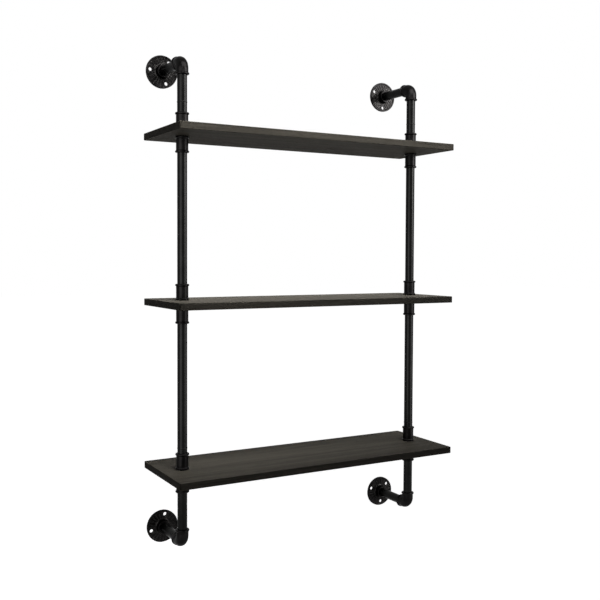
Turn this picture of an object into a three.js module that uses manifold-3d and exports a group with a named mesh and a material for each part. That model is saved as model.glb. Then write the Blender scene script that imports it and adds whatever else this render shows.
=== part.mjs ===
// Wall-hung shelving unit: two columns of threaded black pipe hold three wooden boards.
// Sizes are in millimetres. +X is to the right, +Y towards the wall and +Z up.
// The origin is on the wall, midway between the columns and level with the middle board.
// Left and right are as seen from the front.

import * as THREE from 'three';
import { mergeVertices } from 'three/addons/utils/BufferGeometryUtils.js';
import Module from 'manifold-3d';

const wasm = await Module();
wasm.setup();

// Fits
const seatGap = 0.3;
const boardHoleClearance = 0.85;
const cutOverrun = 2;

// Pipe: one size throughout, threaded at both ends
const pipeDiameter = 21.3;
const pipeWall = 2.75;
const threadEngagement = 12.75;
const longPipeExposed = 280;
const riserExposed = 80;
const wallPipeExposed = 80;

// Thin raised seam near the lower end of some pipes, counted from the fitting below it
const seamHeight = 1.6;
const seamRaise = 0.75;
const seamFlankShare = 0.25;
const topRiserSeamRise = 22;
const lowerPipeSeamRise = 11;

// Boards
const boardLength = 700;
const boardDepth = 220;
const boardThickness = 15;
const boardCornerRadius = 4;
const boardEdgeEasing = 1.2;
const columnInset = 48;

// Bands: the thick rounded rings at the mouths of the couplings and elbows
const bandWidth = 5;
const bandRaise = 1.85;
const bandRounding = 1.3;

// Couplings
const couplingLength = 35;
const couplingWall = 2.2;

// Elbows
const elbowWall = 2.5;
const elbowThroatRadius = 1.5;

// Wall flanges
const flangeDiameter = 74;
const flangeDepth = 18;
const flangeRimThickness = 5;
const flangeRimWidth = 3.4;
const flangeRimRounding = 1.2;
const flangeWebThickness = 3.8;
const flangeWebSlope = 1;
const hubWall = 3.5;
const hubFlare = 5;
const hubRounding = 1;
const screwHoleDiameter = 8;
const screwHoleEdgeDistance = 9.5;
const ribWidth = 2.2;
const ribRaise = 1.2;

// Counts
const pipeSides = 16;
const flangeSides = 24;
const holeSides = 12;
const boardHoleSides = 20;
const cornerSteps = 3;
const bendSteps = 5;
const flareSteps = 3;
const screwHoleCount = 3;
const ribSpacesPerSector = 8;

// Where the first screw hole of each flange points, in degrees from +X towards +Z.
// Each flange stopped at its own turn when it was screwed tight.
const firstHoleTurns = { left_top: 52, right_top: 33, left_bottom: 77, right_bottom: 38 };

const quarterTurn = Math.PI / 2;
const fullTurn = 2 * Math.PI;

// Worked out from the sizes above
const pipeRadius = pipeDiameter / 2;
const boreRadius = pipeRadius - pipeWall;
const socketRadius = pipeRadius + seatGap;
const socketDepth = threadEngagement + seatGap;
const couplingRadius = socketRadius + couplingWall;
const elbowRadius = socketRadius + elbowWall;
const bendRadius = elbowRadius + elbowThroatRadius;
const elbowReach = bendRadius + socketDepth;
const columnSpacing = boardLength - 2 * columnInset;
const wallOffset = elbowReach + wallPipeExposed + flangeDepth;
const clampReach = boardThickness / 2 + seatGap + couplingLength;
const boardPitch = 2 * clampReach + longPipeExposed;
const elbowHeight = boardPitch + clampReach + riserExposed + elbowReach;

const blackIron = new THREE.MeshStandardMaterial({ color: 0x1b1b1c, roughness: 0.42, metalness: 0.55 });
const darkWood = new THREE.MeshStandardMaterial({ color: 0x3e3a35, roughness: 0.6, metalness: 0 });

function toSolid(geometry) {
  const bare = geometry.clone();
  bare.deleteAttribute('normal');
  bare.deleteAttribute('uv');
  const merged = mergeVertices(bare);
  return new wasm.Manifold(new wasm.Mesh({
    numProp: 3,
    vertProperties: merged.attributes.position.array,
    triVerts: Uint32Array.from(merged.index.array),
  }));
}

function toGeometry(solid) {
  const { vertProperties, triVerts } = solid.getMesh();
  const geometry = new THREE.BufferGeometry();
  geometry.setAttribute('position', new THREE.BufferAttribute(vertProperties, 3));
  geometry.setIndex(new THREE.BufferAttribute(triVerts, 1));
  geometry.computeVertexNormals();
  return geometry;
}

function named(name, geometry, material) {
  const mesh = new THREE.Mesh(geometry, material.clone());
  mesh.name = name;
  return mesh;
}

// A turned shape from [radius, height] pairs that close on themselves, about local Y
function turned(profile, sides) {
  const points = profile.map(([radius, height]) => new THREE.Vector2(radius, height));
  points.push(points[0].clone());
  return new THREE.LatheGeometry(points, sides);
}

function circlePoints(centre, radius, sides) {
  const points = [];
  for (let step = 0; step < sides; step += 1) {
    const angle = (step / sides) * fullTurn;
    points.push(new THREE.Vector2(centre + radius * Math.cos(angle), radius * Math.sin(angle)));
  }
  return points;
}

// The outside of a banded mouth as [depth, radius] pairs, from its face inwards
function bandedMouth(bodyRadius) {
  const bandRadius = bodyRadius + bandRaise;
  return [
    [0, bandRadius - bandRounding],
    [bandRounding, bandRadius],
    [bandWidth - bandRounding, bandRadius],
    [bandWidth, bodyRadius],
  ];
}

// A straight pipe about local Y, its length set by the stretch that shows between two fittings
function pipeGeometry(exposed, seamRise) {
  const halfLength = exposed / 2 + threadEngagement;
  const profile = [[boreRadius, -halfLength], [pipeRadius, -halfLength]];
  if (seamRise) {
    const foot = seamRise - exposed / 2 - seamHeight / 2;
    const flank = seamHeight * seamFlankShare;
    profile.push([pipeRadius, foot]);
    profile.push([pipeRadius + seamRaise, foot + flank]);
    profile.push([pipeRadius + seamRaise, foot + seamHeight - flank]);
    profile.push([pipeRadius, foot + seamHeight]);
  }
  profile.push([pipeRadius, halfLength], [boreRadius, halfLength]);
  return turned(profile, pipeSides);
}

function couplingGeometry() {
  const halfLength = couplingLength / 2;
  const mouth = bandedMouth(couplingRadius);
  const lowerMouth = mouth.map(([depth, radius]) => [radius, depth - halfLength]);
  const upperMouth = mouth.map(([depth, radius]) => [radius, halfLength - depth]).reverse();
  const profile = [[socketRadius, -halfLength], ...lowerMouth, ...upperMouth, [socketRadius, halfLength]];
  return turned(profile, pipeSides);
}

// A ring of points round the elbow's centre line, at a turn of the bend and a distance along from it
function elbowRing(turn, along, radius) {
  const tangent = new THREE.Vector3(0, Math.sin(turn), Math.cos(turn));
  const outward = new THREE.Vector3(0, -Math.cos(turn), Math.sin(turn));
  const centre = new THREE.Vector3(0, bendRadius, -bendRadius)
    .addScaledVector(outward, bendRadius)
    .addScaledVector(tangent, along);
  const points = [];
  for (let side = 0; side < pipeSides; side += 1) {
    const angle = (side / pipeSides) * fullTurn;
    const point = centre.clone().addScaledVector(outward, radius * Math.sin(angle));
    point.x += radius * Math.cos(angle);
    points.push(point);
  }
  return points;
}

function bendRings(radius) {
  const rings = [];
  for (let step = 0; step <= bendSteps; step += 1) {
    rings.push(elbowRing((step / bendSteps) * quarterTurn, 0, radius));
  }
  return rings;
}

// Joins a closed loop of rings into one skin
function skinThroughRings(rings) {
  const positions = rings.flat().flatMap((point) => point.toArray());
  const indices = [];
  rings.forEach((ring, at) => {
    const here = at * pipeSides;
    const next = ((at + 1) % rings.length) * pipeSides;
    ring.forEach((point, side) => {
      const beside = (side + 1) % pipeSides;
      indices.push(here + side, next + side, next + beside);
      indices.push(here + side, next + beside, here + beside);
    });
  });
  const geometry = new THREE.BufferGeometry();
  geometry.setAttribute('position', new THREE.Float32BufferAttribute(positions, 3));
  geometry.setIndex(indices);
  geometry.computeVertexNormals();
  return geometry;
}

// A banded elbow with its corner at the origin: one mouth faces down, the other the wall.
// Each mouth is a socket for a pipe end, and a curved waterway joins the two.
function elbowGeometry() {
  const mouth = bandedMouth(elbowRadius);
  const lowerMouth = mouth.map(([depth, radius]) => elbowRing(0, depth - socketDepth, radius));
  const wallMouth = mouth.map(([depth, radius]) => elbowRing(quarterTurn, socketDepth - depth, radius));
  const wallSocket = [socketDepth, 0].map((along) => elbowRing(quarterTurn, along, socketRadius));
  const lowerSocket = [0, -socketDepth].map((along) => elbowRing(0, along, socketRadius));
  const waterway = bendRings(boreRadius).reverse();
  return skinThroughRings([
    ...lowerMouth, ...bendRings(elbowRadius), ...wallMouth.reverse(),
    ...wallSocket, ...waterway, ...lowerSocket,
  ]);
}

// The flange's body about local Y: back face at zero, hub towards -Y, flared into a thin web
function flangeBody() {
  const rimRadius = flangeDiameter / 2;
  const webRadius = rimRadius - flangeRimWidth - flangeWebSlope;
  const hubRadius = socketRadius + hubWall;
  const flare = new THREE.QuadraticBezierCurve(
    new THREE.Vector2(hubRadius + hubFlare, -flangeWebThickness),
    new THREE.Vector2(hubRadius, -flangeWebThickness),
    new THREE.Vector2(hubRadius, -flangeWebThickness - hubFlare),
  ).getPoints(flareSteps).map((point) => point.toArray());
  return turned([
    [socketRadius, -flangeDepth],
    [hubRadius - hubRounding, -flangeDepth],
    [hubRadius, hubRounding - flangeDepth],
    ...flare.reverse(),
    [webRadius, -flangeWebThickness],
    [rimRadius - flangeRimWidth, -flangeRimThickness],
    [rimRadius - flangeRimRounding, -flangeRimThickness],
    [rimRadius, flangeRimRounding - flangeRimThickness],
    [rimRadius, 0],
    [socketRadius, 0],
  ], flangeSides);
}

// One radial rib on the web, from the hub to the rim, along +X before it is turned
function flangeRib(angle) {
  const start = socketRadius + hubWall;
  const end = flangeDiameter / 2 - flangeRimWidth;
  const height = flangeWebThickness / 2 + ribRaise;
  const rib = new THREE.BoxGeometry(end - start, height, ribWidth);
  rib.translate((start + end) / 2, -flangeWebThickness / 2 - height / 2, 0);
  rib.rotateY(angle);
  return toSolid(rib);
}

function screwHole(angle) {
  const length = flangeDepth + 2 * cutOverrun;
  const cutter = new THREE.CylinderGeometry(screwHoleDiameter / 2, screwHoleDiameter / 2, length, holeSides);
  cutter.translate(flangeDiameter / 2 - screwHoleEdgeDistance, -flangeDepth / 2, 0);
  cutter.rotateY(angle);
  return toSolid(cutter);
}

// A round wall flange: three screw holes, with radial ribs on the web between them
function flangeGeometry() {
  const sector = fullTurn / screwHoleCount;
  let solid = toSolid(flangeBody());
  for (let hole = 0; hole < screwHoleCount; hole += 1) {
    for (let rib = 1; rib < ribSpacesPerSector; rib += 1) {
      solid = solid.add(flangeRib((hole + rib / ribSpacesPerSector) * sector));
    }
    solid = solid.subtract(screwHole(hole * sector));
  }
  return toGeometry(solid);
}

// A board with eased edges and a hole for each column, lying flat about its own middle
function boardGeometry() {
  const corners = [[1, 1], [-1, 1], [-1, -1], [1, -1]];
  const outline = corners.flatMap(([right, back], quarter) => {
    const arc = new THREE.EllipseCurve(
      right * (boardLength / 2 - boardCornerRadius),
      back * (boardDepth / 2 - boardCornerRadius),
      boardCornerRadius,
      boardCornerRadius,
      quarter * quarterTurn,
      (quarter + 1) * quarterTurn,
    );
    return arc.getPoints(cornerSteps);
  });
  const shape = new THREE.Shape(outline);
  for (const side of [-1, 1]) {
    const rim = circlePoints(side * columnSpacing / 2, pipeRadius + boardHoleClearance, boardHoleSides);
    shape.holes.push(new THREE.Path(rim));
  }
  const plank = new THREE.ExtrudeGeometry(shape, {
    depth: boardThickness - 2 * boardEdgeEasing,
    bevelThickness: boardEdgeEasing,
    bevelSize: boardEdgeEasing,
    bevelOffset: -boardEdgeEasing,
    bevelSegments: 1,
  });
  plank.translate(0, 0, boardEdgeEasing - boardThickness / 2);
  return plank;
}

// Stands a turned piece upright at a height on the column
function upright(mesh, height) {
  mesh.rotation.x = quarterTurn;
  mesh.position.z = height;
  return mesh;
}

// What clamps one board to a column: a nipple through the board and a coupling on each side of it
function boardClamp(side, level, height) {
  const clamp = new THREE.Group();
  const nipple = pipeGeometry(boardThickness + 2 * seatGap, 0);
  clamp.add(upright(named(`${side}_${level}_nipple`, nipple, blackIron), 0));
  for (const [place, direction] of [['upper', 1], ['lower', -1]]) {
    const coupling = named(`${side}_${level}_${place}_coupling`, couplingGeometry(), blackIron);
    clamp.add(upright(coupling, direction * (clampReach - couplingLength / 2)));
  }
  clamp.position.z = height;
  return clamp;
}

// The arm that carries a column's end off the wall: riser, elbow, wall pipe and flange.
// direction is 1 for the arm above the boards and -1 for the one below them.
function wallArm(side, end, direction, seamRise) {
  const riser = named(`${side}_${end}_riser`, pipeGeometry(riserExposed, seamRise), blackIron);
  upright(riser, direction * (elbowHeight - elbowReach - riserExposed / 2));

  const elbow = named(`${side}_${end}_elbow`, elbowGeometry(), blackIron);
  elbow.rotation.y = direction > 0 ? 0 : Math.PI;
  elbow.position.z = direction * elbowHeight;

  const wallPipe = named(`${side}_${end}_wall_pipe`, pipeGeometry(wallPipeExposed, 0), blackIron);
  wallPipe.position.set(0, elbowReach + wallPipeExposed / 2, direction * elbowHeight);

  const flange = named(`${side}_${end}_flange`, flangeGeometry(), blackIron);
  flange.rotation.y = -THREE.MathUtils.degToRad(firstHoleTurns[`${side}_${end}`]);
  flange.position.set(0, wallOffset, direction * elbowHeight);

  const arm = new THREE.Group();
  arm.add(riser, elbow, wallPipe, flange);
  return arm;
}

function column(side, across) {
  const group = new THREE.Group();
  group.add(wallArm(side, 'top', 1, topRiserSeamRise));
  group.add(boardClamp(side, 'top_shelf', boardPitch));
  const upperPipe = named(`${side}_upper_pipe`, pipeGeometry(longPipeExposed, 0), blackIron);
  group.add(upright(upperPipe, boardPitch / 2));
  group.add(boardClamp(side, 'middle_shelf', 0));
  const lowerPipe = named(`${side}_lower_pipe`, pipeGeometry(longPipeExposed, lowerPipeSeamRise), blackIron);
  group.add(upright(lowerPipe, -boardPitch / 2));
  group.add(boardClamp(side, 'bottom_shelf', -boardPitch));
  group.add(wallArm(side, 'bottom', -1, 0));
  group.position.set(across, -wallOffset, 0);
  return group;
}

function board(name, height) {
  const mesh = named(name, boardGeometry(), darkWood);
  mesh.position.set(0, -wallOffset, height);
  return mesh;
}

const shelvingUnit = new THREE.Group();
shelvingUnit.add(column('left', -columnSpacing / 2));
shelvingUnit.add(column('right', columnSpacing / 2));
shelvingUnit.add(board('top_board', boardPitch));
shelvingUnit.add(board('middle_board', 0));
shelvingUnit.add(board('bottom_board', -boardPitch));

export default shelvingUnit;
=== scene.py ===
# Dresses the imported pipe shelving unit: threaded black pipe, banded cast fittings and three dark boards.
# Lengths are in metres and angles in radians. +X is to the right, +Y towards the wall and +Z up.
# Every round piece is an outline of radius against length, swept round an axis by Geometry Nodes.

import math

import bpy
from bpy.props import FloatProperty, FloatVectorProperty, IntProperty, PointerProperty
from mathutils import Matrix, Vector


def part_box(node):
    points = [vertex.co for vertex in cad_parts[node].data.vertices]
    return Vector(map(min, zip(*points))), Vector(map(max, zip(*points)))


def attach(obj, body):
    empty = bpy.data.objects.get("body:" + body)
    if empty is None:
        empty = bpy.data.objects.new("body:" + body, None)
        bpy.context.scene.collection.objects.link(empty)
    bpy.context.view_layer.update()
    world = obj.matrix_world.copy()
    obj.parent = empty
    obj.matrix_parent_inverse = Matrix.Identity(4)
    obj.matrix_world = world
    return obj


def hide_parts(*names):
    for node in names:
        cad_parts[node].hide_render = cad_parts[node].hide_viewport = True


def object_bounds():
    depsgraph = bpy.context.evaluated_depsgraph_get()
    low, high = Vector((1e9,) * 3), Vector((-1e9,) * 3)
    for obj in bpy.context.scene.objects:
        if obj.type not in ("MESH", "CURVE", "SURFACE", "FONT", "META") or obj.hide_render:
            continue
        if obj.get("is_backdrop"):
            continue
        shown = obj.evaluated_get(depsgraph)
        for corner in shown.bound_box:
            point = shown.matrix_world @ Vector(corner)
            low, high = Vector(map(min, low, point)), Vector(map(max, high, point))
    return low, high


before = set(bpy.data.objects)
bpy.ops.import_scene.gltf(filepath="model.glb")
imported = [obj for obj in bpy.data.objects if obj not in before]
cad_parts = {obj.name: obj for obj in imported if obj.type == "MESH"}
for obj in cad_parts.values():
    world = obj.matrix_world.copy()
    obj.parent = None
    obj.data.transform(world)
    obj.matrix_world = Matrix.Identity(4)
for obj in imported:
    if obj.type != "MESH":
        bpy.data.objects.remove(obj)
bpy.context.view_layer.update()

bl_info = {
    "name": "Pipe Shelving Unit",
    "version": (1, 0, 0),
    "blender": (4, 5, 0),
    "location": "View3D > Sidebar > Pipe Shelf",
    "description": "Makes a wall shelf of wooden boards clamped on two columns of threaded pipe",
    "category": "Add Mesh",
}

BODY = "root"
SIDES = ("left", "right")
CORNERS = tuple((side, end) for side in SIDES for end in ("top", "bottom"))
SHELVES = ("top_shelf", "middle_shelf", "bottom_shelf")
BOARDS = ("top_board", "middle_board", "bottom_board")
STRAIGHT_PIPES = ("upper_pipe", "lower_pipe", "top_riser", "bottom_riser", "top_wall_pipe",
                  "bottom_wall_pipe")

MILLIMETRE = 0.001
FULL_TURN = 2 * math.pi
QUARTER_TURN = math.pi / 2
SWEEP_RADIUS = 0.05
TO_THE_WALL = (-QUARTER_TURN, 0.0, 0.0)
UPRIGHT = (0.0, 0.0, 0.0)
UPSIDE_DOWN = (0.0, math.pi, 0.0)
CORNER_STEPS = 4
PIPE_SIDES = 64
FLANGE_SIDES = 96
HOLE_SIDES = 32
RIB_SIDES = 12
BEND_STEPS = 28
EASING_STEPS = 3
ROWS_TO_A_THREAD = 6
WEBS_TO_A_DRILL = 6.0
COUNTERSINK_SHARE = 0.08
SHARP_EDGE = math.radians(38)
SKIN_TOLERANCE = 0.02 * MILLIMETRE
WELD_DISTANCE = 0.01 * MILLIMETRE
NUMBER_SOCKETS = {float: "Float", int: "Int"}
GRAZING_TINT = (0.60, 0.60, 0.60, 1.0)
FLOOR_GREY = (0.85, 0.85, 0.85, 1.0)


def length(name, description, default):
    """A length the user may change, given in metres"""
    return FloatProperty(name=name, description=description, default=default, min=0.0, precision=5,
                         subtype="DISTANCE", unit="LENGTH")


def colour(name, description, default):
    """A colour the user may change"""
    return FloatVectorProperty(name=name, description=description, default=default, min=0.0, max=1.0,
                               size=3, subtype="COLOR")


def share(name, description, default):
    """A plain number from nought to one"""
    return FloatProperty(name=name, description=description, default=default, min=0.0, max=1.0,
                         subtype="FACTOR")


def power(name, description, default):
    """A lamp's power, in watts"""
    return FloatProperty(name=name, description=description, default=default, min=0.0, unit="POWER")


def turn(name, description, degrees):
    """An angle the user may change"""
    return FloatProperty(name=name, description=description, default=math.radians(degrees),
                         subtype="ANGLE", unit="ROTATION")


class PipeShelfSizes(bpy.types.PropertyGroup):
    """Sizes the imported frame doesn't state: walls, threads, bands, seams and edges"""

    pipe_wall: length("Pipe wall", "Thickness of the pipe's wall", 0.00275)
    engagement: length("Engagement", "How far a pipe end is screwed into a fitting", 0.01275)
    seat_gap: length("Seat gap", "Clearance between a pipe end and its socket", 0.0003)
    thread_pitch: length("Thread pitch", "Distance from one thread to the next", 0.001814)
    thread_depth: length("Thread depth", "Depth of the thread cut in a pipe", 0.00095)
    end_chamfer: length("End chamfer", "Bevel on the cut end of a pipe", 0.0006)
    seam_height: length("Seam height", "Height of the thin raised seam", 0.0016)
    seam_raise: length("Seam raise", "How far the seam stands proud of the pipe", 0.00075)
    top_riser_seam: length("Top riser seam", "Seam above the coupling on a top riser", 0.022)
    lower_pipe_seam: length("Lower pipe seam", "Seam above the coupling on a lower pipe", 0.011)
    band_width: length("Band width", "Width of the rounded ring at a mouth", 0.005)
    band_raise: length("Band raise", "How far the ring stands proud of the fitting", 0.00185)
    band_rounding: length("Band rounding", "Size of the ring's sloped shoulders", 0.0013)
    cast_fillet: length("Cast fillet", "Small rounding between cast faces", 0.0005)
    elbow_throat: length("Elbow throat", "Radius left at the inside of the bend", 0.0015)
    rim_thickness: length("Rim thickness", "Thickness of a flange at its rim", 0.005)
    rim_width: length("Rim width", "Width of the flange's raised rim", 0.0034)
    rim_rounding: length("Rim rounding", "Rounding of the rim's outer edge", 0.0012)
    web_thickness: length("Web thickness", "Thickness of the flange inside its rim", 0.0038)
    web_slope: length("Web slope", "How far the rim's inner flank spreads", 0.001)
    hub_wall: length("Hub wall", "Wall of the flange's socket", 0.0035)
    hub_flare: length("Hub flare", "Sweep where the hub meets the web", 0.005)
    screw_hole: length("Screw hole", "Diameter of a screw hole", 0.008)
    screw_hole_edge: length("Hole edge distance", "From the rim to the middle of a hole", 0.0095)
    rib_width: length("Rib width", "Width of a cast rib on the web", 0.0022)
    rib_raise: length("Rib raise", "How far a rib stands proud of the web", 0.0012)
    board_corner: length("Board corner", "Radius of a board's corners", 0.004)
    board_easing: length("Board easing", "Rounding along a board's edges", 0.0012)
    board_hole: length("Board hole", "Clearance round the pipe in a board", 0.00085)
    screw_holes: IntProperty(name="Screw holes", description="Screw holes in a flange", default=3, min=1)
    rib_spaces: IntProperty(name="Rib spaces", description="Spaces between two holes", default=8, min=1)
    left_top_turn: turn("Left top turn", "Turn of the left top flange", 52)
    right_top_turn: turn("Right top turn", "Turn of the right top flange", 33)
    left_bottom_turn: turn("Left bottom turn", "Turn of the left bottom flange", 77)
    right_bottom_turn: turn("Right bottom turn", "Turn of the right bottom flange", 38)


class PipeShelfFinish(bpy.types.PropertyGroup):
    """Colours and wear of the black paint, the cast fittings and the stained boards, with a painted highlight
    on the metal's rubbed edges and painted shade on the boards' upright edges
    """

    pipe_black: colour("Pipe black", "Satin black of the pipes", (0.0080, 0.0080, 0.0078))
    fitting_black: colour("Fitting black", "Black of the cast fittings", (0.0070, 0.0066, 0.0066))
    # Partly wear and partly painted highlight: this pale colour along the metal's edges stands for rubbed
    # bare iron and for the bright lines light draws along rims, bands and ribs.
    rubbed_metal_and_highlight: colour("Rubbed metal and highlight", "Where the black is rubbed thin, also a painted highlight", (0.11, 0.107, 0.10))
    dark_stain: colour("Dark stain", "Darkest streaks of the boards", (0.0425, 0.0385, 0.0315))
    pale_stain: colour("Pale stain", "Palest streaks of the boards", (0.083, 0.0755, 0.062))
    # Painted shade: the boards' upright faces are darkened by this share, standing in for the shade they lie
    # in under the light from above.
    edge_painted_shade: share("Edge painted shade", "How much darker the boards' narrow edges are painted darker as shade", 0.60)
    rubbed_wood: colour("Rubbed wood", "Where the stain is rubbed along an edge", (0.085, 0.080, 0.065))
    dust: colour("Dust", "Fine dust on what faces up", (0.20, 0.19, 0.17))
    # On the black metal this share also sets the strength of the painted edge highlight.
    wear: share("Wear", "How much the edges are rubbed", 0.8)
    dust_amount: share("Dust amount", "How much dust lies on what faces up", 0.03)


class PipeShelfStage(bpy.types.PropertyGroup):
    """The height of the floor, and the lamps"""

    floor_drop: length("Floor drop", "From the lowest flange down to the floor", 0.9)
    fill: share("Fill", "Even light from all round", 0.03)
    key_power: power("Key power", "Soft lamp that lights the boards", 9.4)
    key_spread: turn("Key spread", "How widely the key lamp throws its light", 69)
    under_power: power("Under power", "Weak lamp that lights the undersides", 3.6)
    top_shine_power: power("Top shine", "Lamp mirrored in the upper fittings", 36.0)
    left_shine_power: power("Left shine", "Lamp mirrored in the columns' left sides", 22.0)
    upper_right_shine_power: power("Upper right shine", "Lamp mirrored in the columns' upper right", 52.0)
    lower_right_shine_power: power("Lower right shine", "Lamp mirrored in the columns' lower right", 19.0)


class Nodes:
    """Adds nodes and links to one tree"""

    def __init__(self, tree):
        self.tree = tree

    def feed(self, socket, value):
        """Links a socket to another node's output, by default its first, or sets a plain value"""
        if isinstance(value, bpy.types.Node):
            value = value.outputs[0]
        if isinstance(value, bpy.types.NodeSocket):
            self.tree.links.new(value, socket)
        else:
            socket.default_value = value

    def add(self, kind, inputs=None, **settings):
        """A new node with its settings, and its inputs by name or number"""
        node = self.tree.nodes.new(kind)
        for setting, value in settings.items():
            setattr(node, setting, value)
        for key, value in (inputs or {}).items():
            self.feed(node.inputs[key], value)
        return node

    def calc(self, operation, *values, clamped=False):
        """One step of arithmetic on plain numbers"""
        return self.add("ShaderNodeMath", dict(enumerate(values)), operation=operation, use_clamp=clamped)

    def times(self, first, second):
        return self.calc("MULTIPLY", first, second)

    def minus(self, first, second):
        return self.calc("SUBTRACT", first, second)

    def vector(self, x, y, z):
        return self.add("ShaderNodeCombineXYZ", {"X": x, "Y": y, "Z": z})

    def parts(self, vector):
        """The X, Y and Z of a vector"""
        return self.add("ShaderNodeSeparateXYZ", {0: vector}).outputs

    def spread(self, value, low, high, new_low=0.0, new_high=1.0, smooth=True):
        """Maps a value's range to another and keeps it inside"""
        sockets = {"Value": value, "From Min": low, "From Max": high, "To Min": new_low, "To Max": new_high}
        kind = "SMOOTHSTEP" if smooth else "LINEAR"
        return self.add("ShaderNodeMapRange", sockets, interpolation_type=kind)

    def mix(self, factor, first, second):
        """Two colours mixed by a factor. Inputs 6 and 7 and output 2 are the node's colour sockets."""
        sockets = {"Factor": factor, 6: first, 7: second}
        return self.add("ShaderNodeMix", sockets, data_type="RGBA").outputs[2]

    def object_place(self):
        """The place on the object itself, so a pattern stays on it"""
        return self.add("ShaderNodeTexCoord").outputs["Object"]

    def noise(self, place, scale, detail, **more):
        """Soft noise that lies evenly about 0.5"""
        sockets = {"Vector": place, "Scale": scale, "Detail": detail, **more}
        return self.add("ShaderNodeTexNoise", sockets).outputs["Fac"]

    def bump(self, height, depth):
        """The normal of a surface with this relief"""
        return self.add("ShaderNodeBump", {"Height": height, "Distance": depth})

    def facing_up(self):
        """1 on what faces up, 0 on what is upright and -1 on what faces down"""
        return self.parts(self.add("ShaderNodeNewGeometry").outputs["Normal"])["Z"]


def new_group(name, kind, inputs, outputs):
    """A node group with named inputs and outputs, and the nodes that stand for them.

    A number makes a socket for such numbers with that default. A word makes a socket of that kind.
    """
    tree = bpy.data.node_groups.new(name, kind)
    for way, sockets in (("INPUT", inputs), ("OUTPUT", outputs)):
        for socket_name, content in sockets.items():
            number_kind = NUMBER_SOCKETS.get(type(content))
            socket_kind = f"NodeSocket{number_kind or content}"
            socket = tree.interface.new_socket(socket_name, in_out=way, socket_type=socket_kind)
            if number_kind:
                socket.default_value = content
    nodes = Nodes(tree)
    return nodes, nodes.add("NodeGroupInput").outputs, nodes.add("NodeGroupOutput").inputs


def shared_tree(name, make):
    """A node group by name, made the first time it is asked for"""
    return bpy.data.node_groups.get(name) or make()


def finish_tree(nodes, geometry, given, result):
    """Smooths all but the sharp edges, turns and places the piece, and gives it its material"""
    angle = nodes.add("GeometryNodeInputMeshEdgeAngle")
    sharp = nodes.calc("GREATER_THAN", angle, SHARP_EDGE)
    smooth = nodes.add("GeometryNodeSetShadeSmooth", {"Geometry": geometry, "Shade Smooth": True})
    edged = nodes.add("GeometryNodeSetShadeSmooth", {
        "Geometry": smooth, "Selection": sharp, "Shade Smooth": False}, domain="EDGE")
    rotation = nodes.add("FunctionNodeEulerToRotation", {0: given["Turn"]})
    placed = nodes.add("GeometryNodeTransform", {
        "Geometry": edged, "Translation": given["Place"], "Rotation": rotation})
    real = nodes.add("GeometryNodeRealizeInstances", {0: placed})
    finished = nodes.add("GeometryNodeSetMaterial", {"Geometry": real, "Material": given["Material"]})
    nodes.feed(result["Geometry"], finished)


def cut_thread(nodes, given, x, y, along):
    """How much each point of the threaded skin is scaled about the axis to cut a V thread"""
    radius = nodes.calc("SQRT", nodes.calc("MULTIPLY_ADD", x, x, nodes.times(y, y)))
    angle = nodes.calc("DIVIDE", nodes.calc("ARCTAN2", y, x), FULL_TURN)
    turns = nodes.calc("DIVIDE", along, given["Thread Pitch"])
    phase = nodes.calc("FRACT", nodes.minus(turns, angle))
    from_valley = nodes.calc("ABSOLUTE", nodes.calc("MULTIPLY_ADD", phase, 2.0, -1.0))
    valley = nodes.minus(1.0, from_valley)
    reach = nodes.spread(nodes.calc("ABSOLUTE", along), given["Thread Start"], given["Thread Full"])
    skin = nodes.calc("COMPARE", radius, given["Thread Radius"], SKIN_TOLERANCE)
    cut = nodes.times(nodes.times(valley, reach), nodes.times(skin, given["Thread Depth"]))
    return nodes.minus(1.0, nodes.calc("DIVIDE", cut, radius))


def bend_round_corner(nodes, given, x, y, along):
    """Where a point of a straight piece goes when the piece is bent from +Z round to +Y"""
    bend_radius = given["Bend Radius"]
    half_angle = nodes.times(given["Bend Angle"], 0.5)
    half_arc = nodes.times(bend_radius, half_angle)
    before_end = nodes.calc("MINIMUM", along, half_arc)
    in_arc = nodes.calc("MAXIMUM", before_end, nodes.times(half_arc, -1.0))
    past_arc = nodes.minus(along, in_arc)
    angle = nodes.calc("ADD", nodes.calc("DIVIDE", in_arc, bend_radius), half_angle)
    sine = nodes.calc("SINE", angle)
    cosine = nodes.calc("COSINE", angle)
    from_centre = nodes.minus(bend_radius, y)
    to_centre = nodes.times(bend_radius, nodes.calc("TANGENT", half_angle))
    centre_across = nodes.calc("MULTIPLY_ADD", past_arc, sine, bend_radius)
    across = nodes.minus(centre_across, nodes.times(from_centre, cosine))
    risen = nodes.calc("MULTIPLY_ADD", past_arc, cosine, nodes.times(from_centre, sine))
    return nodes.vector(x, across, nodes.minus(risen, to_centre))


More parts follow.
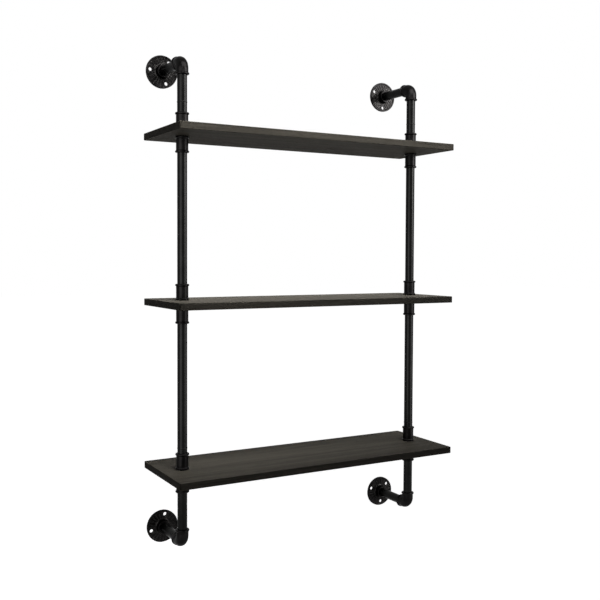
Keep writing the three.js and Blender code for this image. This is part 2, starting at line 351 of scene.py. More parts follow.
def turned_piece_tree():
    """Sweeps a closed outline round the axis, cuts a screw thread in one skin, then bends and places it"""
    nodes, given, result = new_group("Turned Piece", "GeometryNodeTree", {
        "Geometry": "Geometry",
        "Sides": PIPE_SIDES,
        "Thread Radius": 0.0,
        "Thread Pitch": MILLIMETRE,
        "Thread Depth": 0.0,
        "Thread Start": 0.0,
        "Thread Full": 1.0,
        "Bend Radius": 1.0,
        "Bend Angle": 0.0,
        "Place": "Vector",
        "Turn": "Vector",
        "Material": "Material",
    }, {"Geometry": "Geometry"})
    outline = nodes.add("GeometryNodeMeshToCurve", {"Mesh": given["Geometry"]})
    circle = nodes.add("GeometryNodeCurvePrimitiveCircle", {
        "Resolution": given["Sides"], "Radius": SWEEP_RADIUS})
    level = nodes.add("GeometryNodeSetCurveNormal", {"Curve": circle}, mode="Z_UP")
    swept = nodes.add("GeometryNodeCurveToMesh", {"Curve": level, "Profile Curve": outline})
    x, y, along = nodes.parts(nodes.add("GeometryNodeInputPosition"))
    scale = cut_thread(nodes, given, x, y, along)
    spot = nodes.vector(nodes.times(x, scale), nodes.times(y, scale), along)
    threaded = nodes.add("GeometryNodeSetPosition", {"Geometry": swept, "Position": spot})
    bent_spot = bend_round_corner(nodes, given, x, y, along)
    bent = nodes.add("GeometryNodeSetPosition", {"Geometry": threaded, "Position": bent_spot})
    finish_tree(nodes, bent, given, result)
    return nodes.tree


def drill_screw_holes(nodes, given, front):
    """The flange with its screw holes drilled and slightly countersunk at the front"""
    hole_radius = given["Hole Radius"]
    chamfer = nodes.times(hole_radius, COUNTERSINK_SHARE)
    drill = nodes.add("GeometryNodeMeshCylinder", {
        "Vertices": HOLE_SIDES, "Radius": hole_radius,
        "Depth": nodes.times(given["Web Thickness"], WEBS_TO_A_DRILL)})
    sink = nodes.add("GeometryNodeMeshCone", {
        "Vertices": HOLE_SIDES, "Radius Top": hole_radius,
        "Radius Bottom": nodes.calc("MULTIPLY_ADD", chamfer, 2.0, hole_radius),
        "Depth": nodes.times(chamfer, 2.0)})
    sunk = nodes.add("GeometryNodeTransform", {
        "Geometry": sink, "Translation": nodes.vector(0.0, 0.0, nodes.minus(front, chamfer))})
    spots = nodes.add("GeometryNodeMeshCircle", {
        "Vertices": given["Screw Holes"], "Radius": given["Hole Circle"]})
    body = given["Geometry"]
    for cutter in (drill, sunk):
        holes = nodes.add("GeometryNodeInstanceOnPoints", {"Points": spots, "Instance": cutter})
        real = nodes.add("GeometryNodeRealizeInstances", {0: holes})
        body = nodes.add("GeometryNodeMeshBoolean", {"Mesh 1": body, "Mesh 2": real},
                         operation="DIFFERENCE", solver="EXACT")
    return nodes.add("GeometryNodeMergeByDistance", {"Geometry": body, "Distance": WELD_DISTANCE})


def lay_ribs(nodes, given, front):
    """Half-sunk radial ribs on the web, evenly all round but for one place at each screw hole"""
    middle = nodes.times(nodes.calc("ADD", given["Rib Start"], given["Rib End"]), 0.5)
    count = nodes.times(given["Screw Holes"], given["Rib Spaces"])
    ring = nodes.add("GeometryNodeMeshCircle", {"Vertices": count, "Radius": middle})
    index = nodes.add("GeometryNodeInputIndex")
    past_hole = nodes.calc("MODULO", index, given["Rib Spaces"])
    between_holes = nodes.calc("GREATER_THAN", past_hole, 0.5)
    x, y, _ = nodes.parts(nodes.add("GeometryNodeInputPosition"))
    outward = nodes.vector(0.0, 0.0, nodes.calc("ARCTAN2", y, x))
    half = nodes.times(nodes.minus(given["Rib End"], given["Rib Start"]), 0.5)
    spine = nodes.add("GeometryNodeCurvePrimitiveLine", {
        "Start": nodes.vector(nodes.times(half, -1.0), 0.0, 0.0), "End": nodes.vector(half, 0.0, 0.0)})
    section = nodes.add("GeometryNodeCurvePrimitiveCircle", {
        "Resolution": RIB_SIDES, "Radius": nodes.times(given["Rib Width"], 0.5)})
    rod = nodes.add("GeometryNodeCurveToMesh", {"Curve": spine, "Profile Curve": section, "Fill Caps": True})
    rise = nodes.calc("DIVIDE", nodes.times(given["Rib Raise"], 2.0), given["Rib Width"])
    rib = nodes.add("GeometryNodeTransform", {
        "Geometry": rod, "Translation": nodes.vector(0.0, 0.0, front),
        "Scale": nodes.vector(1.0, 1.0, rise)})
    ribs = nodes.add("GeometryNodeInstanceOnPoints", {
        "Points": ring, "Selection": between_holes, "Instance": rib, "Rotation": outward})
    return nodes.add("GeometryNodeRealizeInstances", {0: ribs})


def flange_tree():
    """Drills countersunk screw holes in a flange's web and lays radial ribs between them"""
    nodes, given, result = new_group("Flange Ribs and Holes", "GeometryNodeTree", {
        "Geometry": "Geometry",
        "Screw Holes": 3,
        "Rib Spaces": 8,
        "Hole Circle": 0.0,
        "Hole Radius": 0.0,
        "Web Thickness": 0.0,
        "Rib Start": 0.0,
        "Rib End": 0.0,
        "Rib Width": 0.0,
        "Rib Raise": 0.0,
        "Place": "Vector",
        "Turn": "Vector",
        "Material": "Material",
    }, {"Geometry": "Geometry"})
    front = nodes.times(given["Web Thickness"], -1.0)
    joined = nodes.add("GeometryNodeJoinGeometry", {0: drill_screw_holes(nodes, given, front)})
    nodes.feed(joined.inputs[0], lay_ribs(nodes, given, front))
    finish_tree(nodes, joined, given, result)
    return nodes.tree


def rounded(corners):
    """Outline points from (radius, along, rounding) corners, each rounding as a short curve"""
    points = []
    for at, (radius, along, rounding) in enumerate(corners):
        corner = Vector((radius, along))
        if not rounding:
            points.append(corner)
            continue
        before = Vector(corners[at - 1][:2])
        after = Vector(corners[(at + 1) % len(corners)][:2])
        start = corner + (before - corner).normalized() * rounding
        end = corner + (after - corner).normalized() * rounding
        for step in range(CORNER_STEPS + 1):
            part = step / CORNER_STEPS
            points.append(start.lerp(corner, part).lerp(corner.lerp(end, part), part))
    return points


def rows(radius, start, end, spacing):
    """Plain corners along a skin, no farther apart than the spacing"""
    count = max(1, math.ceil(abs(end - start) / spacing))
    return [(radius, start + (end - start) * row / count, 0.0) for row in range(count + 1)]


def scene_object(name, data):
    """A new object in the scene"""
    made = bpy.data.objects.new(name, data)
    bpy.context.scene.collection.objects.link(made)
    return made


def evaluated_mesh(piece):
    """A plain mesh of a piece, with its curve or its modifiers worked out"""
    depsgraph = bpy.context.evaluated_depsgraph_get()
    return bpy.data.meshes.new_from_object(piece.evaluated_get(depsgraph), depsgraph=depsgraph)


def outline_object(name, corners):
    """A closed outline as an object of edges, laid for the sweep: X outwards and Y against the axis"""
    points = [(radius - SWEEP_RADIUS, -along, 0.0) for radius, along in reversed(rounded(corners))]
    edges = [(at, (at + 1) % len(points)) for at in range(len(points))]
    mesh = bpy.data.meshes.new(name)
    mesh.from_pydata(points, edges, [])
    return scene_object(name, mesh)


def add_tree(piece, tree, values):
    """Runs a Geometry Nodes tree on a piece, its named inputs set by their identifiers"""
    modifier = piece.modifiers.new(tree.name, "NODES")
    modifier.node_group = tree
    identifiers = {item.name: item.identifier for item in tree.interface.items_tree
                   if item.item_type == "SOCKET" and item.in_out == "INPUT"}
    for name, value in values.items():
        modifier[identifiers[name]] = value


def swept_piece(node, outline, values):
    """A round piece swept from its outline, to be dressed as its node"""
    piece = outline_object(f"dressed_{node}", outline)
    add_tree(piece, shared_tree("Turned Piece", turned_piece_tree), values)
    return piece


def dress(piece, node):
    """Turns a piece's modifiers into a plain mesh, and lets it stand for its node in the frame"""
    weighted = piece.modifiers.new("Flat faces first", "WEIGHTED_NORMAL")
    weighted.keep_sharp = True
    mesh = evaluated_mesh(piece)
    if not mesh.polygons:
        raise RuntimeError(f"{piece.name} came out with no faces")
    piece.modifiers.clear()
    piece.data = mesh
    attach(piece, BODY)
    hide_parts(node)


def middle_of(node):
    """The middle of a node's box in the frame"""
    low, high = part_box(node)
    return (low + high) / 2


def size_of(node):
    """The size of a node's box along each axis"""
    low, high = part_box(node)
    return high - low


def pipe_radius():
    """The pipe's outside radius, from a nipple's box"""
    return size_of("left_top_shelf_nipple").x / 2


def flange_radius():
    """The outside radius of all four flanges, from the widest of their faceted boxes"""
    return max(size_of(f"{side}_{end}_flange").x for side, end in CORNERS) / 2


def socket_radius(sizes):
    """The radius of a socket before its thread is cut"""
    return pipe_radius() + sizes.seat_gap


def thread_rows(sizes, radius, start, end):
    """Corners along a skin, close enough together for a thread to follow"""
    return rows(radius, start, end, sizes.thread_pitch / ROWS_TO_A_THREAD)


def socket_thread(sizes, start, full):
    """Inputs that cut a thread outwards into a socket, between two distances from the piece's middle"""
    return {"Thread Radius": socket_radius(sizes), "Thread Pitch": sizes.thread_pitch,
            "Thread Depth": -sizes.thread_depth, "Thread Start": start, "Thread Full": full}


def mouths(sizes, body_radius, half):
    """Corners of the banded mouths at both ends: the lower from its bore out, the upper back to its bore"""
    band_radius = body_radius + sizes.band_raise
    shoulder = sizes.band_rounding
    small = sizes.cast_fillet
    from_face = (
        (socket_radius(sizes), 0.0),
        (band_radius - shoulder, 0.0),
        (band_radius, shoulder),
        (band_radius, sizes.band_width - shoulder),
        (body_radius, sizes.band_width),
    )
    lower = [(radius, depth - half, small) for radius, depth in from_face]
    upper = [(radius, half - depth, small) for radius, depth in reversed(from_face)]
    return lower, upper


def pipe_outline(sizes, full_length, seam_rise):
    """A pipe's outline from its lower end to its upper end, with rows for the thread at both ends"""
    radius = pipe_radius()
    bore = radius - sizes.pipe_wall
    half = full_length / 2
    bare = half - sizes.engagement
    chamfer = sizes.end_chamfer
    outline = [(bore, -half, chamfer / 2), (radius, -half, chamfer)]
    outline += thread_rows(sizes, radius, 2 * chamfer - half, -bare)
    if seam_rise:
        foot = seam_rise - bare - sizes.seam_height / 2
        crown = radius + sizes.seam_raise
        flank = sizes.seam_height / 4
        outline += [
            (radius, foot, flank / 2),
            (crown, foot + flank, flank / 2),
            (crown, foot + sizes.seam_height - flank, flank / 2),
            (radius, foot + sizes.seam_height, flank / 2),
        ]
    outline += thread_rows(sizes, radius, bare, half - 2 * chamfer)
    outline += [(radius, half, chamfer), (bore, half, chamfer / 2)]
    return outline


def coupling_outline(sizes, body_radius, full_length):
    """A coupling with a banded mouth at each end and one threaded bore right through"""
    half = full_length / 2
    deep = half - 2 * sizes.cast_fillet
    lower, upper = mouths(sizes, body_radius, half)
    return lower + upper + thread_rows(sizes, socket_radius(sizes), deep, -deep)


def elbow_outline(sizes, body_radius, arc, socket_depth):
    """The elbow as if it were straight: two banded sockets, and a waterway through the bend between them"""
    half = arc / 2 + socket_depth
    bore = pipe_radius() - sizes.pipe_wall
    socket = socket_radius(sizes)
    deep = half - 2 * sizes.cast_fillet
    lower, upper = mouths(sizes, body_radius, half)
    outside = rows(body_radius, -arc / 2, arc / 2, arc / BEND_STEPS)
    inside = thread_rows(sizes, socket, deep, arc / 2)
    inside += rows(bore, arc / 2, -arc / 2, arc / BEND_STEPS)
    inside += thread_rows(sizes, socket, -arc / 2, -deep)
    return lower + outside + upper + inside


def flange_outline(sizes, rim_radius, depth):
    """A wall flange from the face of its hub to its flat back, which lies at nought"""
    socket = socket_radius(sizes)
    hub = socket + sizes.hub_wall
    rim_inside = rim_radius - sizes.rim_width
    small = sizes.cast_fillet
    return [
        (socket, -depth, small),
        (hub, -depth, 2 * small),
        (hub, -sizes.web_thickness, sizes.hub_flare),
        (rim_inside - sizes.web_slope, -sizes.web_thickness, small),
        (rim_inside, -sizes.rim_thickness, small),
        (rim_radius, -sizes.rim_thickness, sizes.rim_rounding),
        (rim_radius, 0.0, small / 2),
        (socket, 0.0, small),
        *thread_rows(sizes, socket, -2 * small, 2 * small - depth),
    ]


def make_pipe(sizes, node, material, seam_rise=0.0):
    """One threaded pipe or nipple, upright or out to the wall as its node lies"""
    size = size_of(node)
    to_wall = size.y > size.z
    full_length = size.y if to_wall else size.z
    bare = full_length / 2 - sizes.engagement
    piece = swept_piece(node, pipe_outline(sizes, full_length, seam_rise), {
        "Sides": PIPE_SIDES, "Thread Radius": pipe_radius(), "Thread Pitch": sizes.thread_pitch,
        "Thread Depth": sizes.thread_depth, "Thread Start": bare, "Thread Full": bare + sizes.thread_pitch,
        "Place": middle_of(node), "Turn": TO_THE_WALL if to_wall else UPRIGHT, "Material": material})
    dress(piece, node)


class PIPE_SHELF_OT_pipes(bpy.types.Operator):
    """Make the twelve straight pipes and six nipples, threaded at both ends"""

    bl_idname = "pipe_shelf.pipes"
    bl_label = "Pipes and Nipples"

    def execute(self, context):
        sizes = context.scene.pipe_shelf_sizes
        material = satin_pipe_material(context.scene.pipe_shelf_finish)
        seams = {"top_riser": sizes.top_riser_seam, "lower_pipe": sizes.lower_pipe_seam}
        for side in SIDES:
            for pipe in STRAIGHT_PIPES:
                make_pipe(sizes, f"{side}_{pipe}", material, seams.get(pipe, 0.0))
            for shelf in SHELVES:
                make_pipe(sizes, f"{side}_{shelf}_nipple", material)
        return {"FINISHED"}


class PIPE_SHELF_OT_couplings(bpy.types.Operator):
    """Make the twelve banded couplings that clamp the boards"""

    bl_idname = "pipe_shelf.couplings"
    bl_label = "Couplings"

    def execute(self, context):
        sizes = context.scene.pipe_shelf_sizes
        material = cast_fitting_material(context.scene.pipe_shelf_finish)
        for side in SIDES:
            for shelf in SHELVES:
                for place in ("upper", "lower"):
                    node = f"{side}_{shelf}_{place}_coupling"
                    size = size_of(node)
                    outline = coupling_outline(sizes, size.x / 2 - sizes.band_raise, size.z)
                    threads = socket_thread(sizes, size.z / 2, size.z / 2 - sizes.thread_pitch)
                    piece = swept_piece(node, outline, {
                        "Sides": PIPE_SIDES, **threads, "Place": middle_of(node), "Turn": UPRIGHT,
                        "Material": material})
                    dress(piece, node)
        return {"FINISHED"}


class PIPE_SHELF_OT_elbows(bpy.types.Operator):
    """Make the four banded elbows, bent round the corner between a riser and a wall pipe"""

    bl_idname = "pipe_shelf.elbows"
    bl_label = "Elbows"

    def execute(self, context):
        sizes = context.scene.pipe_shelf_sizes
        material = cast_fitting_material(context.scene.pipe_shelf_finish)
        for side, end in CORNERS:
            node = f"{side}_{end}_elbow"
            body_radius = size_of(node).x / 2 - sizes.band_raise
            bend_radius = body_radius + sizes.elbow_throat
            arc = bend_radius * QUARTER_TURN
            socket_depth = sizes.engagement + sizes.seat_gap
            mouth_at = arc / 2 + socket_depth
            threads = socket_thread(sizes, mouth_at, mouth_at - sizes.thread_pitch)
            riser = middle_of(f"{side}_{end}_riser")
            wall_pipe = middle_of(f"{side}_{end}_wall_pipe")
            piece = swept_piece(node, elbow_outline(sizes, body_radius, arc, socket_depth), {
                "Sides": PIPE_SIDES, **threads, "Bend Radius": bend_radius, "Bend Angle": QUARTER_TURN,
                "Place": (riser.x, riser.y, wall_pipe.z),
                "Turn": UPRIGHT if end == "top" else UPSIDE_DOWN, "Material": material})
            dress(piece, node)
        return {"FINISHED"}


class PIPE_SHELF_OT_flanges(bpy.types.Operator):
    """Make the four wall flanges with their radial ribs and screw holes"""

    bl_idname = "pipe_shelf.flanges"
    bl_label = "Wall Flanges"

    def execute(self, context):
        sizes = context.scene.pipe_shelf_sizes
        detail = shared_tree("Flange Ribs and Holes", flange_tree)
        material = cast_fitting_material(context.scene.pipe_shelf_finish)
        rim_radius = flange_radius()
        threads = socket_thread(sizes, 0.0, sizes.thread_pitch)
        for side, end in CORNERS:
            node = f"{side}_{end}_flange"
            low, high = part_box(node)
            wall_pipe = middle_of(f"{side}_{end}_wall_pipe")
            piece = swept_piece(node, flange_outline(sizes, rim_radius, high.y - low.y), {
                "Sides": FLANGE_SIDES, **threads, "Material": material})
            hole_turn = getattr(sizes, f"{side}_{end}_turn")
            add_tree(piece, detail, {
                "Screw Holes": sizes.screw_holes, "Rib Spaces": sizes.rib_spaces,
                "Hole Circle": rim_radius - sizes.screw_hole_edge, "Hole Radius": sizes.screw_hole / 2,
                "Web Thickness": sizes.web_thickness,
                "Rib Start": socket_radius(sizes) + sizes.hub_wall,
                "Rib End": rim_radius - sizes.rim_width,
                "Rib Width": sizes.rib_width, "Rib Raise": sizes.rib_raise,
                "Place": (wall_pipe.x, high.y, wall_pipe.z),
                "Turn": (-QUARTER_TURN, -hole_turn, 0.0), "Material": material})
            dress(piece, node)
        return {"FINISHED"}


def add_loop(curve, points):
    """A closed polygon on a flat curve"""
    spline = curve.splines.new("POLY")
    spline.points.add(len(points) - 1)
    for place, (x, y) in zip(spline.points, points):
        place.co = (x, y, 0.0, 1.0)
    spline.use_cyclic_u = True


def arc_points(centre, radius, start, end, steps):
    """Points round part of a circle, both ends included"""
    angles = [start + (end - start) * step / steps for step in range(steps + 1)]
    return [(centre[0] + radius * math.cos(angle), centre[1] + radius * math.sin(angle)) for angle in angles]


def board_object(sizes, node):
    """One board, from a flat curve: rounded corners, eased edges and a hole for each column"""
    middle = middle_of(node)
    size = size_of(node)
    corner = sizes.board_corner
    easing = sizes.board_easing
    curve = bpy.data.curves.new(f"outline_{node}", "CURVE")
    curve.dimensions = "2D"
    curve.fill_mode = "BOTH"
    curve.extrude = size.z / 2 - easing
    curve.bevel_depth = easing
    curve.bevel_resolution = EASING_STEPS
    curve.offset = -easing
    outline = []
    for quarter, (right, back) in enumerate(((1, 1), (-1, 1), (-1, -1), (1, -1))):
        centre = (right * (size.x / 2 - corner), back * (size.y / 2 - corner))
        start = quarter * QUARTER_TURN
        outline += arc_points(centre, corner, start, start + QUARTER_TURN, CORNER_STEPS)
    add_loop(curve, outline)
    for side in SIDES:
        column = middle_of(f"{side}_upper_pipe")
        centre = (column.x - middle.x, column.y - middle.y)
        hole = arc_points(centre, pipe_radius() + sizes.board_hole, 0.0, FULL_TURN, HOLE_SIDES)
        add_loop(curve, hole[:-1])
    flat = scene_object(f"outline_{node}", curve)
    mesh = evaluated_mesh(flat)
    bpy.data.objects.remove(flat)
    mesh.transform(Matrix.Translation(middle))
    mesh.shade_smooth()
    return scene_object(f"dressed_{node}", mesh)


class PIPE_SHELF_OT_boards(bpy.types.Operator):
    """Make the three stained boards with their eased edges"""

    bl_idname = "pipe_shelf.boards"
    bl_label = "Boards"

    def execute(self, context):
        sizes = context.scene.pipe_shelf_sizes
        material = dark_wood_material(context.scene.pipe_shelf_finish)
        for node in BOARDS:
            piece = board_object(sizes, node)
            piece.data.materials.append(material)
            dress(piece, node)
        return {"FINISHED"}


def cast_grain_group():
    """Fine pebbled grain, as height for a bump and as a slow mottle of tone"""
    pebble_height = -0.5
    nodes, given, result = new_group("Cast Grain", "ShaderNodeTree", {
        "Grain Scale": 700.0, "Mottle Scale": 60.0}, {"Height": 0.0, "Mottle": 0.0})
    place = nodes.object_place()
    fine = nodes.noise(place, given["Grain Scale"], detail=3.0)
    pebble = nodes.add("ShaderNodeTexVoronoi", {"Vector": place, "Scale": given["Grain Scale"]},
                       feature="SMOOTH_F1").outputs["Distance"]
    slow = nodes.noise(place, given["Mottle Scale"], detail=4.0)
    nodes.feed(result["Height"], nodes.calc("MULTIPLY_ADD", pebble, pebble_height, fine))
    nodes.feed(result["Mottle"], nodes.spread(slow, low=0.3, high=0.7))
    return nodes.tree


def in_patches(nodes, given, mask, detail, low, high):
    """A mask broken up into soft patches, and held to the given amount"""
    patches = nodes.noise(nodes.object_place(), given["Patch Scale"], detail)
    patchy = nodes.times(mask, nodes.spread(patches, low, high))
    return nodes.calc("MULTIPLY", patchy, given["Amount"], clamped=True)


def rubbed_edge_group():
    """A mask of the places along an edge where the finish is rubbed thin, which on the black metal also
    places a painted highlight
    """
    nodes, given, result = new_group("Rubbed Edge", "ShaderNodeTree", {
        "Radius": MILLIMETRE, "Amount": 0.5, "Patch Scale": 120.0}, {"Mask": 0.0})
    rounded_normal = nodes.add("ShaderNodeBevel", {"Radius": given["Radius"]}, samples=6)
    true_normal = nodes.add("ShaderNodeNewGeometry").outputs["Normal"]
    likeness = nodes.add("ShaderNodeVectorMath", {0: rounded_normal, 1: true_normal},
                         operation="DOT_PRODUCT").outputs["Value"]
    edge = nodes.spread(likeness, low=0.985, high=0.80)
    nodes.feed(result["Mask"], in_patches(nodes, given, edge, detail=4.0, low=0.36, high=0.60))
    return nodes.tree


def settled_dust_group():
    """A mask of thin uneven dust on what faces up"""
    nodes, given, result = new_group("Settled Dust", "ShaderNodeTree", {
        "Amount": 0.1, "Patch Scale": 25.0}, {"Mask": 0.0})
    upward = nodes.spread(nodes.facing_up(), low=0.45, high=1.0)
    nodes.feed(result["Mask"], in_patches(nodes, given, upward, detail=6.0, low=0.25, high=0.75))
    return nodes.tree


def effect(nodes, group_name, make, inputs):
    """A shared effect placed in a material with its own values"""
    return nodes.add("ShaderNodeGroup", inputs, node_tree=shared_tree(group_name, make)).outputs


def opaque(rgb):
    """A colour with nothing showing through"""
    return (*rgb, 1.0)


def scaled(rgb, factor):
    """The same colour lighter or darker"""
    return tuple(factor * part for part in rgb)


def new_material(name, constants):
    """A material and its Principled shader, with constants set on the shader's own sockets"""
    material = bpy.data.materials.new(name)
    material.use_nodes = True
    shader = material.node_tree.nodes["Principled BSDF"]
    for socket, value in constants.items():
        shader.inputs[socket].default_value = value
    return material, Nodes(material.node_tree), shader


def worn_and_dusty(nodes, finish, clean, rubbed, radius, wear, patch_scale):
    """A colour rubbed along its edges, on the black metal also a painted highlight, and dusty where it faces
    up, and the mask of the dust
    """
    rub = effect(nodes, "Rubbed Edge", rubbed_edge_group, {
        "Radius": radius, "Amount": wear, "Patch Scale": patch_scale})["Mask"]
    dusty = effect(nodes, "Settled Dust", settled_dust_group, {"Amount": finish.dust_amount})["Mask"]
    worn = nodes.mix(rub, clean, opaque(rubbed))
    return nodes.mix(dusty, worn, opaque(finish.dust)), dusty


def black_metal(name, finish, black, tone_swing, grain_scale, bump_depth, rough_low, rough_high):
    """Blackened iron: grain in the surface, rubbed edges that are also a painted highlight, a little dust and
    a dimmed grazing sheen
    """
    existing = bpy.data.materials.get(name)
    if existing:
        return existing
    material, nodes, shader = new_material(name, {"Specular Tint": GRAZING_TINT})
    grain = effect(nodes, "Cast Grain", cast_grain_group, {"Grain Scale": grain_scale, "Mottle Scale": 55.0})
    darker = opaque(scaled(black, 1.0 - tone_swing))
    paler = opaque(scaled(black, 1.0 + tone_swing))
    clean = nodes.mix(grain["Mottle"], darker, paler)
    # The rubbed edges are partly wear and partly a painted highlight along rims, bands and ribs.
    colour, dusty = worn_and_dusty(nodes, finish, clean, finish.rubbed_metal_and_highlight, radius=1.0 * MILLIMETRE,
                                   wear=finish.wear, patch_scale=160.0)
    roughness = nodes.spread(grain["Mottle"], low=0.0, high=1.0, new_low=rough_low, new_high=rough_high)
    nodes.feed(shader.inputs["Base Color"], colour)
    nodes.feed(shader.inputs["Metallic"], nodes.minus(1.0, dusty))
    nodes.feed(shader.inputs["Roughness"], roughness)
    nodes.feed(shader.inputs["Normal"], nodes.bump(grain["Height"], bump_depth))
    return material


def satin_pipe_material(finish):
    """Smooth satin black of the pipes, with a faint orange peel"""
    return black_metal("Satin black pipe", finish, finish.pipe_black, tone_swing=0.12, grain_scale=260.0,
                       bump_depth=0.002 * MILLIMETRE, rough_low=0.25, rough_high=0.28)


def cast_fitting_material(finish):
    """Duller black over the fine grain of a sand casting"""
    return black_metal("Black cast fitting", finish, finish.fitting_black, tone_swing=0.25, grain_scale=800.0,
                       bump_depth=0.05 * MILLIMETRE, rough_low=0.28, rough_high=0.38)


def dark_wood_material(finish):
    """Charcoal-brown stain over long straight grain that runs with the board, and painted shade on its
    upright edges
    """
    streak_share = 0.55
    pore_tone = 0.4
    pore_strength = 0.6
    streak_height = 0.8
    fibre_height = 0.5
    pore_height = -0.8
    wear_share = 0.4
    material, nodes, shader = new_material("Dark stained wood", {"Specular IOR Level": 0.013})
    place = nodes.object_place()

    def grain(along, across, detail, **more):
        """Noise drawn out along the board, by its scales along and across"""
        stretched = nodes.add("ShaderNodeMapping", {"Vector": place, "Scale": (along, across, across)})
        return nodes.noise(stretched, scale=1.0, detail=detail, **more)

    figure = grain(along=2.2, across=38.0, detail=5.0, Roughness=0.55, Distortion=0.6)
    streaks = grain(along=7.0, across=260.0, detail=4.0)
    fibres = grain(along=28.0, across=1500.0, detail=2.0)
    pores = nodes.spread(grain(along=75.0, across=1900.0, detail=1.0), low=0.62, high=0.70)
    tone = nodes.calc("MULTIPLY_ADD", figure, 1.0 - streak_share, nodes.times(streaks, streak_share))
    stain = nodes.mix(nodes.spread(tone, low=0.32, high=0.68), opaque(finish.dark_stain),
                      opaque(finish.pale_stain))
    pore_stain = opaque(scaled(finish.dark_stain, pore_tone))
    stain = nodes.mix(nodes.times(pores, pore_strength), stain, pore_stain)
    # Painted shade: the fronts, ends and backs, which stand upright, are mixed towards black as the shade
    # they get from the light above.
    level = nodes.calc("ABSOLUTE", nodes.facing_up())
    upright_face_shade = nodes.spread(level, low=0.75, high=0.45, new_high=finish.edge_painted_shade)
    stain = nodes.mix(upright_face_shade, stain, opaque((0.0, 0.0, 0.0)))
    colour, _ = worn_and_dusty(nodes, finish, stain, finish.rubbed_wood, radius=1.2 * MILLIMETRE,
                               wear=wear_share * finish.wear, patch_scale=70.0)
    roughness = nodes.spread(streaks, low=0.3, high=0.7, new_low=0.60, new_high=0.72)
    relief = nodes.calc("MULTIPLY_ADD", fibres, fibre_height, nodes.times(pores, pore_height))
    relief = nodes.calc("MULTIPLY_ADD", streaks, streak_height, relief)
    nodes.feed(shader.inputs["Base Color"], colour)
    nodes.feed(shader.inputs["Roughness"], roughness)
    nodes.feed(shader.inputs["Normal"], nodes.bump(relief, 0.10 * MILLIMETRE))
    return material


def seen_or_mirrored(nodes):
    """1 for a ray from the camera, a mirror or glass, and 0 for one that only carries light"""
    path = nodes.add("ShaderNodeLightPath").outputs
    mirrored = nodes.calc("MAXIMUM", path["Is Glossy Ray"], path["Is Transmission Ray"])
    return nodes.calc("MAXIMUM", path["Is Camera Ray"], mirrored)


def white_world(fill):
    """A world that is plain white where it is seen, and lights the object evenly with the fill"""
    world = bpy.data.worlds.new("White studio")
    world.use_nodes = True
    nodes = Nodes(world.node_tree)
    background = world.node_tree.nodes["Background"]
    strength = nodes.spread(seen_or_mirrored(nodes), low=0.0, high=1.0, new_low=fill, smooth=False)
    nodes.feed(background.inputs["Strength"], strength)
    background.inputs["Color"].default_value = (1.0, 1.0, 1.0, 1.0)
    bpy.context.scene.world = world


def pale_floor(height):
    """A wide pale floor that keeps the object's shadow and reads white where it is lit"""
    half_width = 30.0
    mesh = bpy.data.meshes.new("pale_floor")
    corners = ((-half_width, -half_width), (half_width, -half_width),
               (half_width, half_width), (-half_width, half_width))
    mesh.from_pydata([(x, y, height) for x, y in corners], [], [(0, 1, 2, 3)])
    material, nodes, shader = new_material("Pale floor", {})
    nodes.tree.nodes.remove(shader)
    matt = nodes.add("ShaderNodeBsdfDiffuse", {"Color": FLOOR_GREY})
    glow = nodes.add("ShaderNodeEmission", {"Strength": seen_or_mirrored(nodes)})
    both = nodes.add("ShaderNodeAddShader", {0: matt, 1: glow})
    nodes.feed(nodes.tree.nodes["Material Output"].inputs["Surface"], both)
    mesh.materials.append(material)
    floor = scene_object("pale_floor", mesh)
    floor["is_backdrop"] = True


def soft_lamp(name, target, azimuth, elevation, distance, width, height, watts):
    """A rectangular lamp that faces the target from an azimuth and an elevation in degrees.

    Azimuth 0 is straight in front and 90 is at the right.
    """
    turn_right = math.radians(azimuth)
    rise = math.radians(elevation)
    level = math.cos(rise)
    away = Vector((math.sin(turn_right) * level, -math.cos(turn_right) * level, math.sin(rise)))
    light = bpy.data.lights.new(name, "AREA")
    light.shape = "RECTANGLE"
    light.size = width
    light.size_y = height
    light.energy = watts
    lamp = scene_object(name, light)
    facing = away.to_track_quat("Z", "Y").to_matrix().to_4x4()
    lamp.matrix_world = Matrix.Translation(target + away * distance) @ facing
    lamp.visible_camera = False
    return lamp


class PIPE_SHELF_OT_stage(bpy.types.Operator):
    """Make the floor, the soft light and the camera"""

    bl_idname = "pipe_shelf.stage"
    bl_label = "Stage"

    def execute(self, context):
        stage = context.scene.pipe_shelf_stage
        low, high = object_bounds()
        middle = (Vector(low) + Vector(high)) / 2
        white_world(stage.fill)
        pale_floor(low[2] - stage.floor_drop)
        top_board = middle_of("top_board")
        key = soft_lamp("Key softbox", top_board, azimuth=11, elevation=41, distance=0.74,
                        width=1.4, height=0.4, watts=stage.key_power)
        key.data.spread = stage.key_spread
        under = soft_lamp("Under softbox", middle, azimuth=0, elevation=-70, distance=1.4,
                          width=1.2, height=0.6, watts=stage.under_power)
        for board_light in (key, under):
            board_light.visible_glossy = False
        shines = (
            soft_lamp("Top shine", top_board, azimuth=5, elevation=48, distance=1.2,
                      width=1.6, height=0.8, watts=stage.top_shine_power),
            soft_lamp("Left shine", middle, azimuth=-60, elevation=4, distance=1.5,
                      width=1.1, height=1.5, watts=stage.left_shine_power),
            soft_lamp("Upper right shine", middle, azimuth=46, elevation=20, distance=2.0,
                      width=0.85, height=0.95, watts=stage.upper_right_shine_power),
            soft_lamp("Lower right shine", middle, azimuth=46, elevation=-7, distance=2.0,
                      width=0.85, height=0.95, watts=stage.lower_right_shine_power),
        )
        for shine in shines:
            shine.visible_diffuse = False
        photo_camera()
        context.scene.view_settings.view_transform = "Standard"
        return {"FINISHED"}


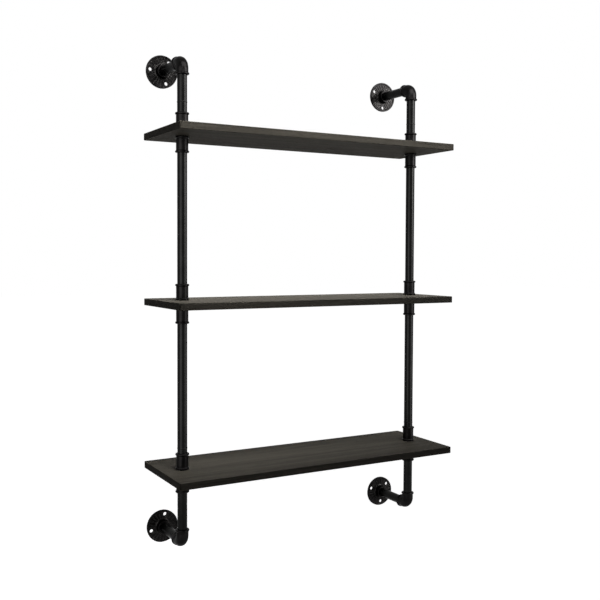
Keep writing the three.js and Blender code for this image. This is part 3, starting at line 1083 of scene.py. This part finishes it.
def photo_camera():
    """The camera at the photograph's viewpoint, its lens for an image of 600 by 600 pixels"""
    image_width = 600
    focal_pixels = 853.1
    axis_in_image = (300.8, 284.1)
    place = Vector((-0.9834, -1.8434, 0.1063))
    yaw, pitch, roll = (math.radians(angle) for angle in (29.56, -1.97, 0.24))
    camera = bpy.data.cameras.new("Photo camera")
    camera.sensor_width = 36.0
    camera.lens = camera.sensor_width * focal_pixels / image_width
    camera.shift_x = 0.5 - axis_in_image[0] / image_width
    camera.shift_y = axis_in_image[1] / image_width - 0.5
    holder = scene_object("Photo camera", camera)
    facing = Matrix.Rotation(-yaw, 4, "Z") @ Matrix.Rotation(QUARTER_TURN + pitch, 4, "X")
    aim = facing @ Matrix.Rotation(roll, 4, "Z")
    holder.matrix_world = Matrix.Translation(place) @ aim
    bpy.context.scene.camera = holder


OPERATORS = (
    PIPE_SHELF_OT_pipes,
    PIPE_SHELF_OT_couplings,
    PIPE_SHELF_OT_elbows,
    PIPE_SHELF_OT_flanges,
    PIPE_SHELF_OT_boards,
    PIPE_SHELF_OT_stage,
)

SETTINGS = {
    "pipe_shelf_sizes": PipeShelfSizes,
    "pipe_shelf_finish": PipeShelfFinish,
    "pipe_shelf_stage": PipeShelfStage,
}


class PIPE_SHELF_PT_sidebar(bpy.types.Panel):
    """Lists what the shelving unit is made of, with its sizes and finishes"""

    bl_label = "Pipe Shelf"
    bl_space_type = "VIEW_3D"
    bl_region_type = "UI"
    bl_category = "Pipe Shelf"

    def draw(self, context):
        for operator in OPERATORS:
            self.layout.operator(operator.bl_idname)
        for settings in SETTINGS:
            group = getattr(context.scene, settings)
            box = self.layout.box()
            for name in group.__annotations__:
                box.prop(group, name)


def register():
    for group in (*SETTINGS.values(), *OPERATORS, PIPE_SHELF_PT_sidebar):
        bpy.utils.register_class(group)
    for name, group in SETTINGS.items():
        setattr(bpy.types.Scene, name, PointerProperty(type=group))


def unregister():
    for name in SETTINGS:
        delattr(bpy.types.Scene, name)
    for group in (PIPE_SHELF_PT_sidebar, *reversed(OPERATORS), *reversed(SETTINGS.values())):
        bpy.utils.unregister_class(group)


def main():
    """Registers the add-on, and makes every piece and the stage"""
    register()
    for operator in OPERATORS:
        category, name = operator.bl_idname.split(".")
        getattr(getattr(bpy.ops, category), name)()


if __name__ == "__main__":
    main()
